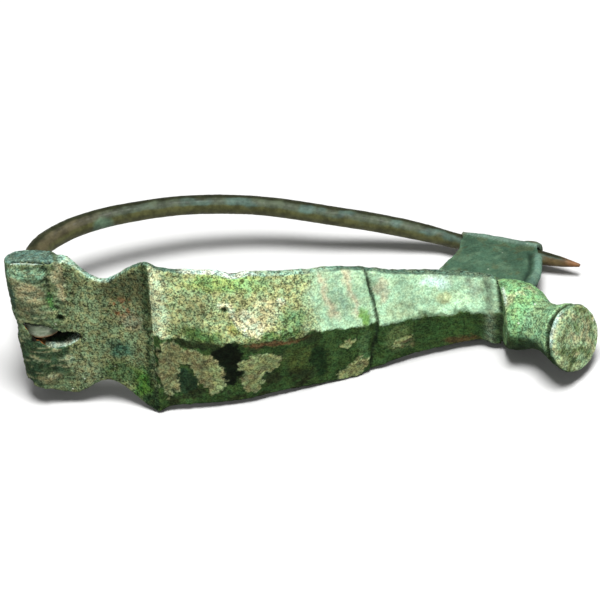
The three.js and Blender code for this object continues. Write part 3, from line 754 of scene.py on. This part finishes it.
def paint_facets(paint, grain, at):
    """The bow's long facets: pale to minty above the ridge, dark with pale crust below it, with a painted
    highlight along the crest and a band of painted shade under the ridge.
    """
    home, x, y, grit, crust = at.home, at.x, at.y, at.grit, at.crust
    bx, by = at.bent[:, 0], at.bent[:, 1]
    facets = at.front * (x >= CREST_X) * (1 - at.on_foot)
    upper = facets * ease(by, RIDGE_Y - 0.2, RIDGE_Y + 0.1)
    lower = facets - upper

    paint.over((0.26, 0.31, 0.155), upper)
    # Paler along the crest end of the upper facet: a painted highlight.
    paint.over((0.38, 0.44, 0.28), upper * ease(bx, 11.4, 10.4))
    paint.patches(UPPER_STAINS, upper)
    paint.over((0.46, 0.49, 0.34), upper * ease(at.scar + 0.1 * grit, 0.42, 0.15) * 0.8)
    paint.patch((0.44, 0.46, 0.31), (18.2, 2.2, 0.95, 1.8, 35), upper, 0.4)
    mint = upper * ease(bx + 0.8 * clouds(home, 1.8, 3, 29), 22.7, 24.9)
    paint.over((0.32, 0.485, 0.325), mint)
    for place in (25.9, 28.1):
        stripe = bell(bx, place - 0.25 * (y - 1.5), 0.35) * ease(y, 0.8, 2.0)
        paint.over((0.42, 0.40, 0.28), mint * stripe * 0.9)
    for place in (24.3, 26.9):
        stripe = bell(bx, place - 0.2 * (y - 1.5), 0.22) * ease(y, 0.8, 2.0)
        paint.over((0.20, 0.30, 0.23), mint * stripe * 0.6)
    paint.patches(MINT_STAINS, mint)
    grain[:] = np.where(x > CREST_X, 1.0 - 0.58 * mint, grain)

    paint.over((0.032, 0.064, 0.02), lower)
    paint.over((0.02, 0.03, 0.012), lower * ease(clouds(home, 1.3, 3, 14), 0.1, 0.35) * ease(x, 27.0, 23.0))
    # Stains on the lower facets, and the band of painted shade under the ridge.
    paint.patches(LOWER_STAINS_AND_SHADE, lower)
    tan = crust * lower
    paint.over((0.155, 0.165, 0.08), tan)
    paint.over((0.20, 0.235, 0.105), tan * ease(bx, 13.6, 14.4))
    paint.over((0.11, 0.10, 0.055), tan * ease(clouds(home, 0.9, 3, 15), 0.15, 0.35) * 0.7)
    paint.over((0.33, 0.36, 0.20), lower * np.clip(4 * crust * (1 - crust), 0, 1) * 0.55)
    grain[:] = np.where(lower > 0.5, 0.75, grain)


def paint_edges(paint, at):
    """The back, the side, the end of the tube and the collar before the foot."""
    home, x, y, z = at.home, at.x, at.y, at.z
    normal, front, side, on_foot, on_catch = at.normal, at.front, at.side, at.on_foot, at.on_catch
    behind = ease(-normal[:, 2], 0.2, 0.5) * (1 - on_catch) * (1 - on_foot)
    paint.over((0.13, 0.21, 0.125), behind * ease(clouds(home, 3.4, 3, 41), 0.0, 0.3) * 0.9)
    paint.over((0.12, 0.10, 0.055), behind * ease(clouds(home, 2.2, 3, 42), 0.1, 0.35) * 0.8)
    paint.over((0.03, 0.05, 0.024), behind * ease(clouds(home, 1.3, 3, 43), 0.15, 0.35) * 0.7)

    band = side * (1 - on_catch) * (1 - on_foot)
    paint.over((0.23, 0.33, 0.26), band * ease(x, 1.6, 2.4) * ease(x, 8.5, 7.0))
    paint.over((0.075, 0.12, 0.085), band * ease(x, 7.0, 9.0))
    paint.over((0.40, 0.48, 0.41), band * ease(x, 12.0, 13.0) * ease(x, 20.0, 18.0))
    paint.over((0.20, 0.29, 0.21), band * ease(x, 19.0, 20.0) * ease(x, 27.0, 25.0))
    end = side * ease(x, 1.7, 1.3)
    paint.over((0.078, 0.13, 0.105), end)
    paint.over((0.12, 0.185, 0.15), end * ease(clouds(home, 0.8, 3, 18), 0.1, 0.4))
    seam_along, seam_out = end_seam(home)
    seam = side * ease(x, 2.2, 1.8) * ease(abs(seam_along - END_SEAM_SHIFT), END_SEAM_HALF, 1.75)
    paint.over((0.45, 0.52, 0.48), seam * bell(seam_out, 0.34, 0.1) * 0.7)
    paint.over((0.004, 0.007, 0.007), seam * ease(abs(seam_out), 0.27, 0.15))
    # The notch in the tube's lower edge, painted near black: painted shade.
    notch = bell(x, -1.45, 0.25) * ease(y, -5.6, -5.9) * ease(z, 0.2, 0.6)
    paint.over((0.008, 0.014, 0.009), notch)
    collar = front * bell(x, FOOT_X - 0.75, 0.45) * (1 - on_foot)
    paint.over((0.12, 0.165, 0.11), collar * 0.9)


def paint_foot(paint, grain, at):
    """The bulb, the neck and the disc knob, with painted highlights on their upper rims, painted shade in the
    crevice and painted shade beneath.
    """
    home, x, y, z, far = at.home, at.x, at.y, at.z, at.far
    normal, front, on_foot = at.normal, at.front, at.on_foot
    foot = on_foot * (1 - at.on_catch)
    paint.over((0.16, 0.30, 0.14), foot)
    paint.over((0.26, 0.34, 0.19), foot * ease(clouds(home, 1.4, 3, 9), 0.05, 0.4) * ease(y, -0.5, 1.5))
    paint.over((0.16, 0.27, 0.15), foot * ease(far, 4.6, 5.4))
    lit = bell(x, FOOT_X + 0.42, 0.16) * ease(y, 1.2, 2.0) * ease(z, 8.9, 9.5) * ease(z, 11.6, 10.8)
    paint.over((0.30, 0.38, 0.33), foot * lit)
    over_x, over_z = knob_face(home)
    around = np.degrees(np.arctan2(over_x, over_z))
    # Near black in the crevice between the neck and the disc: painted shade.
    paint.over((0.012, 0.02, 0.012), foot * bell(far, CREVICE, 0.25))
    paint.over((0.08, 0.125, 0.075), foot * ease(far, CREVICE, RIM - 0.1))
    face = foot * ease(far, RIM + 0.1, FACE - 0.4)
    paint.over((0.22, 0.295, 0.165), face)
    paint.over((0.075, 0.11, 0.04), face * ease(clouds(home, 1.3, 3, 20), 0.05, 0.35) * 0.8)
    paint.over((0.29, 0.30, 0.18), face * ease(clouds(home, 1.0, 3, 27), 0.1, 0.4) * 0.7)
    paint.over((0.05, 0.08, 0.035), face * bell(np.hypot(over_x, over_z), 2.0, 0.22) * 0.5)
    lit = bell(far, RIM + 0.05, 0.2) * ease(around, 8, 25) * ease(around, 85, 65)
    paint.over((0.30, 0.38, 0.33), foot * lit)
    paint.over((0.015, 0.025, 0.014), front * bell(x, FOOT_X + 0.02, 0.13) * ease(z, 5.0, 6.0) * 0.7)
    grain[:] = np.where(foot > 0.5, 0.85, grain)

    # Near black on the foot's sides that face down: painted shade.
    below = on_foot * ease(-normal[:, 1], -0.2, 0.3) * (1 - face)
    paint.over((0.012, 0.024, 0.008), below * 0.93)
    paint.over((0.09, 0.06, 0.02), below * bell(far, 2.4, 1.0) * 0.3)


def paint_catch(paint, grain, at):
    """The catchplate and its curl, with a painted highlight along the curl, painted shade on its top edge and
    in the groove by the plate's end, and a painted highlight on the rolled end.
    """
    home, on_catch = at.home, at.on_catch
    along, _, up = in_catch(home)
    paint.over((0.045, 0.088, 0.058), on_catch)
    paint.over((0.065, 0.115, 0.075), on_catch * ease(clouds(home, 1.3, 3, 12), 0.0, 0.4))
    paint.over((0.06, 0.075, 0.04), on_catch * ease(clouds(home, 1.1, 3, 19), 0.2, 0.45) * 0.6)
    # A paler band along the curl: a painted highlight.
    paint.over((0.115, 0.18, 0.145), on_catch * ease(up, 0.45, 0.0) * ease(up, -1.1, -0.8))
    # Darker along the curl's top edge: painted shade.
    paint.over((0.04, 0.055, 0.032), on_catch * ease(up, -0.85, -1.1))
    paint.over((0.10, 0.085, 0.05), on_catch * ease(along, 1.2, 0.4) * ease(up, 1.0, 0.4) * 0.7)
    paint.over((0.065, 0.065, 0.032), on_catch * bell(along, 7.3, 0.7) * ease(up, 0.0, -0.5))
    tail = np.interp(up, *zip(*CATCH_END)) - along
    # Dark in the groove by the plate's end: painted shade.
    paint.over((0.015, 0.03, 0.022), on_catch * bell(tail, 0.95, 0.24) * ease(up, 0.9, 1.6) * 0.9)
    # Paler on the plate's rolled end: a painted highlight.
    paint.over((0.072, 0.125, 0.10), on_catch * ease(tail, 0.75, 0.3) * ease(up, 0.9, 1.6) * 0.8)
    grain[:] = np.where(on_catch > 0.5, 0.25, grain)


def paint_slit(paint, at):
    """Inside the slit: black painted shade on its floor, its walls and round the pin's eye, a pale lip below
    it and a rusty one beside the eye.
    """
    x, y, z, normal = at.x, at.y, at.z, at.normal
    around = (x > -2.2) & (x < 3.6) & (y < 0.9) & (y > -2.2)
    slit = around & (z > 0.7) & (np.hypot(x, z) < SLIT_REACH) & (abs(normal[:, 2]) < 0.45)
    floor = around & (abs(z - SLIT_FLOOR_Z) < 0.2) & (x > 0.2)
    eye_room = (np.hypot(x, z) < EYE_REACH) & (abs(y - SLOT_Y) < 1.0) & (z < 1.75)
    # Near black over the slit's walls, its floor and the room round the pin's eye: painted shade.
    paint.over((0.006, 0.006, 0.005), (slit | floor | eye_room).astype(float))
    lip = slit & (normal[:, 1] > 0.35) & (z > 1.05)
    paint.over((0.25, 0.31, 0.25), (lip & (x > 0.2)).astype(float))
    paint.over((0.17, 0.065, 0.02), (lip & (x <= 0.2)).astype(float))


# ---------------------------------------------------------------- the pin and its bar

PIN_LIFT = 0.3


def dress_pin():
    """The wire: painted shade along its top edge, teal and olive below, with a pale eye and an orange tip."""
    skin = Skin("pin", "pin_wire", PIN_VOXEL, PIN_SMOOTHING)
    home = skin.home
    x, y, z = home.T
    skin.push(0.02 * clouds(home, 1.5, 3, 21) + 0.012 * clouds(home, 0.4, 2, 22))
    # The wire rises a little before the curl.
    skin.points[:, 2] -= PIN_LIFT * ease(x, 22.0, 33.0) * ease(x, 39.8, 36.5)
    normal = skin.normals()
    upward = normal @ np.array([0.1, 0.85, -0.52]) + 0.25 * clouds(home, 1.6, 3, 23)
    paint = Paint(home, (0.055, 0.07, 0.042))
    paint.over((0.06, 0.10, 0.078), ease(clouds(home, 2.6, 3, 25), -0.1, 0.3) * ease(x, 8.0, 20.0))
    paint.over((0.065, 0.048, 0.022), ease(x, 10.0, 4.0) * 0.7)
    paint.over((0.068, 0.07, 0.027), ease(upward, 0.1, -0.35))
    # Near black where the wire faces up: painted shade along its top edge.
    paint.over((0.02, 0.023, 0.01), ease(upward, 0.5, 0.82))
    spot = in_patch(home, 7.3, 1.2, 1.3, 1.2) + 0.2 * clouds(home, 0.6, 3, 26)
    paint.over((0.085, 0.135, 0.085), ease(spot, 0.0, 0.4))
    paint.over((0.085, 0.062, 0.028), ease(x, 45.8, 46.8) * ease(upward, 0.7, 0.3))
    paint.over((0.15, 0.072, 0.03), ease(x, 47.6, 49.0))
    eye = ease(np.hypot(x, z), 2.0, 1.6)
    paint.over((0.15, 0.19, 0.135), eye)
    paint.over((0.24, 0.27, 0.20), eye * ease(clouds(home * [1.0, 3.0, 1.0], 0.7, 3, 24), -0.1, 0.3))
    paint.over((0.18, 0.065, 0.02), eye * ease(y, SLOT_Y - 0.35, SLOT_Y - 0.6))
    skin.mark("patina_and_shade", paint.colours())
    finish = Finish("pin_bronze")
    patina_and_shade = finish.attribute("patina_and_shade", "Color")
    grey = finish.step(finish.noise(0.8, 4, 0.6), 0.3, 0.7, 0.65, 1.4)
    finish.put(finish.shader.inputs["Base Color"], finish.mix(1.0, patina_and_shade, grey, "MULTIPLY"))
    sheen = finish.step(finish.noise(0.5, 3, 0.6), 0.3, 0.7, 0.42, 0.62)
    finish.put(finish.shader.inputs["Roughness"], sheen)
    finish.shader.inputs["Specular IOR Level"].default_value = 0.14
    finish.bump(finish.noise(0.35, 3, 0.6), 0.03)
    skin.finish("pin", "pin", "pin_wire", finish.material)


def dress_bar():
    """The short bar that the eye turns on, brown bronze."""
    skin = Skin("hinge_bar", "hinge_bar_rod", BAR_VOXEL, BAR_SMOOTHING)
    skin.push(0.012 * clouds(skin.home, 0.9, 3, 31))
    finish = Finish("bar_bronze")
    share = finish.step(finish.noise(0.6, 3, 0.6), 0.35, 0.65)
    finish.put(finish.shader.inputs["Base Color"], finish.mix(share, (0.09, 0.055, 0.03), (0.07, 0.09, 0.06)))
    finish.put(finish.shader.inputs["Roughness"], finish.step(finish.noise(0.4, 2, 0.6), 0.3, 0.7, 0.5, 0.8))
    finish.bump(finish.noise(0.3, 3, 0.6), 0.02)
    skin.finish("brooch", "hinge_bar", "bar", finish.material)


light_scene(add_camera())
add_floor()
dress_bow()
dress_pin()
dress_bar()
